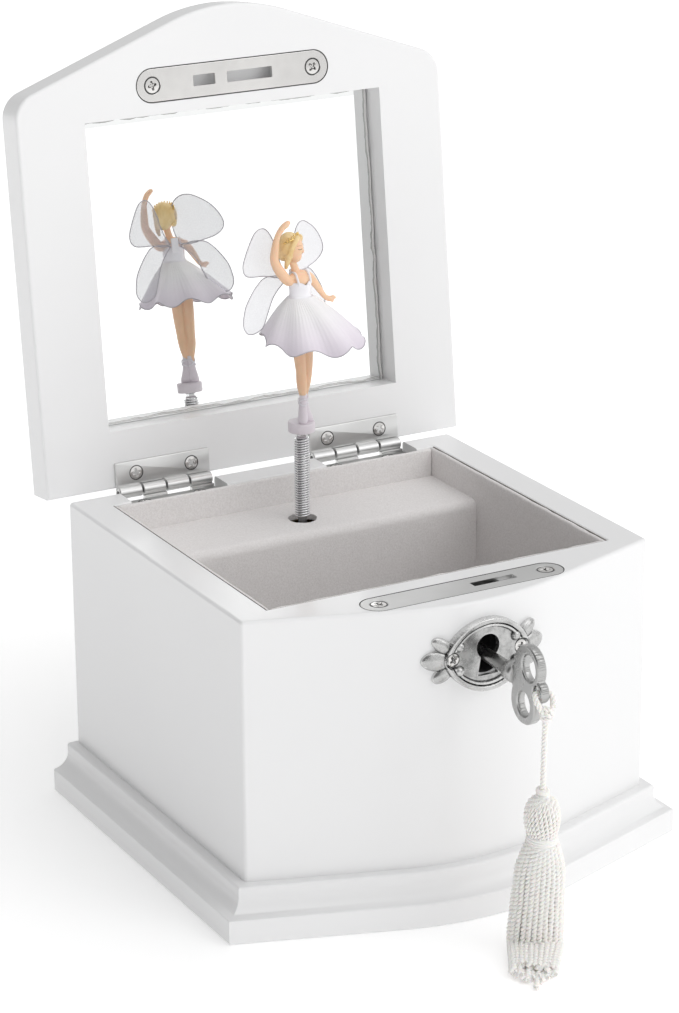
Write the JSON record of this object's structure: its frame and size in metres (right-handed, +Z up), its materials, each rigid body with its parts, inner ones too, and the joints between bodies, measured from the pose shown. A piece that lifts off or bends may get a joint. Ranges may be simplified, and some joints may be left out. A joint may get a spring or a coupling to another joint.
{
  "type": "wind-up music box",
  "caption": "White bow-fronted musical jewellery box with a mirrored lid on butt hinges, a turning fairy dancer on a coiled shaft, a velvet compartment, a lock and a tasselled key",
  "frame": {"origin": "centre of the flat underside, midway between the rear face and the front corners", "axes": "+Z up, -Y towards the bowed front with the keyhole, +X to the right of someone facing the front"},
  "size_m": [0.1572, 0.2259, 0.2474],
  "materials": {
    "white_lacquer": "satin white lacquer",
    "bare_board": "bare fibreboard",
    "felt": "flocked",
    "velvet": "short velvet pile",
    "mirror": "silvered glass",
    "bright_nickel": "polished nickel plate",
    "satin_nickel": "satin nickel plate",
    "pewter": "antique pewter casting",
    "lock_steel": "plain steel",
    "comb_steel": "hardened ground steel",
    "brass": "turned brass",
    "fan_plastic": "moulded plastic",
    "ivory_cord": "twisted rayon cord",
    "doll_plastic": "painted moulded plastic",
    "lilac_plastic": "moulded plastic",
    "tulle": "sheer tulle and organza"
  },
  "bodies": {
    "root": {"left_side_panel": "white_lacquer", "right_side_panel": "white_lacquer", "rear_panel": "white_lacquer", "front_panel": "white_lacquer", "bottom_panel": "bare_board", "base_felt": "felt", "moulding_left": "white_lacquer", "moulding_right": "white_lacquer", "moulding_front": "white_lacquer", "lining_left": "velvet", "lining_right": "velvet", "lining_front": "velvet", "lining_rear": "velvet", "lining_floor": "velvet", "platform_top": "velvet", "platform_front": "velvet", "hinge_lower_leaves": "bright_nickel", "hinge_pins": "bright_nickel", "hinge_case_screws": "bright_nickel", "lock_plate": "satin_nickel", "lock_plate_screws": "bright_nickel", "lock_case": "lock_steel", "escutcheon": "pewter", "escutcheon_screws": "bright_nickel", "bedplate": "brass", "bedplate_screws": "lock_steel", "lower_bearing": "brass", "governor_frame": "brass", "comb_base": "brass", "music_comb": "comb_steel", "comb_screws": "lock_steel", "click_pawl": "lock_steel"},
    "lid": {"lid_board": "white_lacquer", "mirror_glass": "mirror", "strike_plate": "bright_nickel", "strike_plate_screws": "bright_nickel", "hinge_upper_leaves": "bright_nickel", "hinge_lid_screws": "bright_nickel"},
    "cylinder": {"music_cylinder": "brass", "cylinder_arbor": "lock_steel", "crown_pinion": "lock_steel", "cylinder_gear": "brass"},
    "barrel": {"spring_barrel": "brass", "mainspring": "lock_steel"},
    "winder": {"winding_arbor": "lock_steel", "ratchet_wheel": "lock_steel", "winding_key": "bright_nickel"},
    "second_arbor": {"second_wheel": "brass"},
    "governor": {"governor_fan": "fan_plastic"},
    "tumbler": {"lock_tumbler": "brass"},
    "hook": {"lock_hook": "brass"},
    "key": {"lock_key": "pewter"},
    "tassel": {"tassel_cord": "ivory_cord", "tassel_head": "ivory_cord", "tassel_skirt": "ivory_cord"},
    "shaft": {"coiled_shaft": "bright_nickel"},
    "doll": {"doll_ferrule": "bright_nickel", "doll_disc": "lilac_plastic", "doll_figure": "doll_plastic", "doll_skirt_and_wings": "tulle"}
  },
  "joints": [
    {"name": "lid_hinge", "type": "hinge", "parent": "root", "child": "lid", "pos_m": [0, 0.0612, 0.0975], "axis": [-1, 0, 0], "range_deg": [-96.3, 0]},
    {"name": "cylinder_spin", "type": "hinge", "parent": "root", "child": "cylinder", "pos_m": [0, 0.0331, 0.058], "axis": [0, 0, 1], "continuous": true},
    {"name": "barrel_spin", "type": "hinge", "parent": "root", "child": "barrel", "pos_m": [0, 0.042, 0.029], "axis": [0, 1, 0], "continuous": true},
    {"name": "second_spin", "type": "hinge", "parent": "root", "child": "second_arbor", "pos_m": [0.01, 0.0331, 0.07], "axis": [0, 0, 1], "continuous": true},
    {"name": "governor_spin", "type": "hinge", "parent": "root", "child": "governor", "pos_m": [0.0192, 0.0331, 0.07], "axis": [0, 0, 1], "continuous": true},
    {"name": "winding_turn", "type": "hinge", "parent": "root", "child": "winder", "pos_m": [0, 0.055, 0.029], "axis": [0, 1, 0], "continuous": true},
    {"name": "key_turn", "type": "hinge", "parent": "root", "child": "tumbler", "pos_m": [0.0004, -0.07, 0.0812], "axis": [0, 1, 0], "range_deg": [0, 180]},
    {"name": "hook_swing", "type": "hinge", "parent": "root", "child": "hook", "pos_m": [-0.001, -0.0668, 0.091], "axis": [0, -1, 0], "range_deg": [0, 72]},
    {"name": "key_pull", "type": "slide", "parent": "tumbler", "child": "key", "axis": [0, -1, 0], "range_m": [0, 0.03]},
    {"name": "tassel_hang", "type": "hinge", "parent": "key", "child": "tassel", "pos_m": [0.0004, -0.1091, 0.08], "axis": [0, 1, 0], "range_deg": [-180, 0], "deforming": ["tassel_cord"]},
    {"name": "doll_fold", "type": "hinge", "parent": "root", "child": "shaft", "pos_m": [0, 0.0331, 0.097], "axis": [1, 0, 0], "range_deg": [0, 110], "deforming": ["coiled_shaft"]},
    {"name": "doll_spin", "type": "hinge", "parent": "shaft", "child": "doll", "pos_m": [0, 0.0331, 0.12], "axis": [0, 0, 1], "continuous": true}
  ],
  "couplings": [
    {"joint": "barrel_spin", "follows": "cylinder_spin", "ratio": -0.33333},
    {"joint": "second_spin", "follows": "cylinder_spin", "ratio": -4},
    {"joint": "governor_spin", "follows": "cylinder_spin", "ratio": 14.4},
    {"joint": "doll_spin", "follows": "cylinder_spin", "ratio": 1},
    {"joint": "hook_swing", "follows": "key_turn", "ratio": 0.4},
    {"joint": "tassel_hang", "follows": "key_turn", "ratio": -1},
    {"joint": "doll_fold", "follows": "lid_hinge", "ratio": -1.142}
  ]
}
